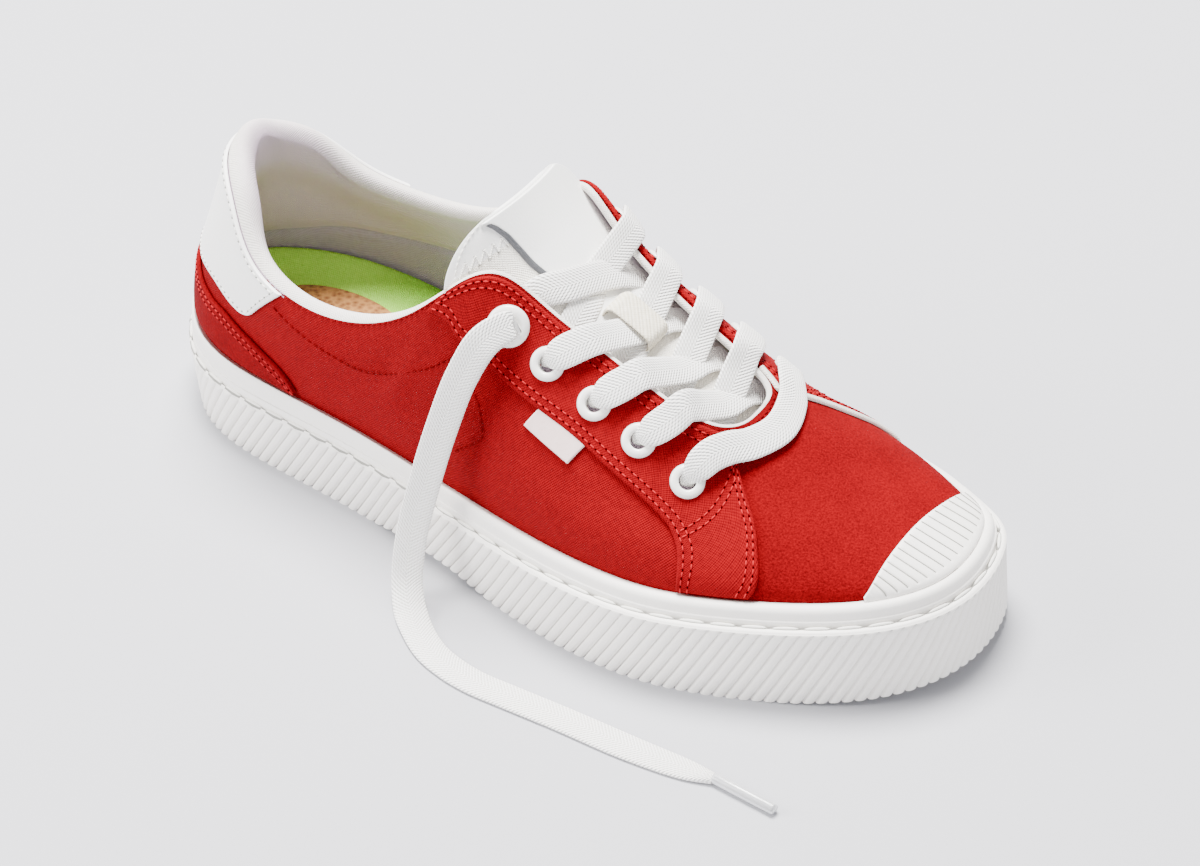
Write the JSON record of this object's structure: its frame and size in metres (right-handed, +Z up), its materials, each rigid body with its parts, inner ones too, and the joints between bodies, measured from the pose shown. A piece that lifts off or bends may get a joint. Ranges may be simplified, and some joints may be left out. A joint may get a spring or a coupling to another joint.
{
  "type": "canvas sneaker",
  "caption": "Right low-top canvas sneaker with a ribbed rubber cup sole, padded collar, tongue, flat lace and a loose lace end on the floor.",
  "frame": {"origin": "bottom centre of the shoe's box without the loose lace end; the sole stands on z = 0", "axes": "+X from heel to toe, +Y towards the medial side (the wearer's left on this right shoe), +Z up"},
  "size_m": [0.294, 0.143, 0.1195],
  "materials": {
    "white_rubber": "matte cast rubber",
    "insole_cloth": "woven cloth over foam",
    "red_canvas": "plain woven canvas",
    "red_suede": "napped suede",
    "white_leather": "smooth leather",
    "cream_canvas": "padded canvas",
    "lace_cotton": "flat herringbone lace",
    "eyelet_enamel": "white enamel",
    "webbing": "ribbed webbing",
    "label_cloth": "woven label, bare",
    "clear_tip": "clear grey shrunk tube"
  },
  "bodies": {
    "root": {"sole": "white_rubber", "insole": "insole_cloth", "upper": "red_canvas", "heel_tab": "white_leather", "heel_counter": "red_suede", "toe_cap": "white_rubber", "tongue": "cream_canvas", "tongue_patch": "white_leather", "eyestay_lateral": "red_canvas", "eyelet_lateral_1": "eyelet_enamel", "eyelet_lateral_2": "eyelet_enamel", "eyelet_lateral_3": "eyelet_enamel", "eyelet_lateral_4": "eyelet_enamel", "eyelet_lateral_5": "eyelet_enamel", "eyestay_medial": "red_canvas", "eyelet_medial_1": "eyelet_enamel", "eyelet_medial_2": "eyelet_enamel", "eyelet_medial_3": "eyelet_enamel", "eyelet_medial_4": "eyelet_enamel", "eyelet_medial_5": "eyelet_enamel", "lace_bar": "lace_cotton", "lace_crossing_1": "lace_cotton", "lace_crossing_2": "lace_cotton", "lace_crossing_3": "lace_cotton", "lace_crossing_4": "lace_cotton", "lace_keeper": "webbing", "label": "label_cloth", "lace_end": "lace_cotton", "aglet": "clear_tip"}
  },
  "joints": []
}
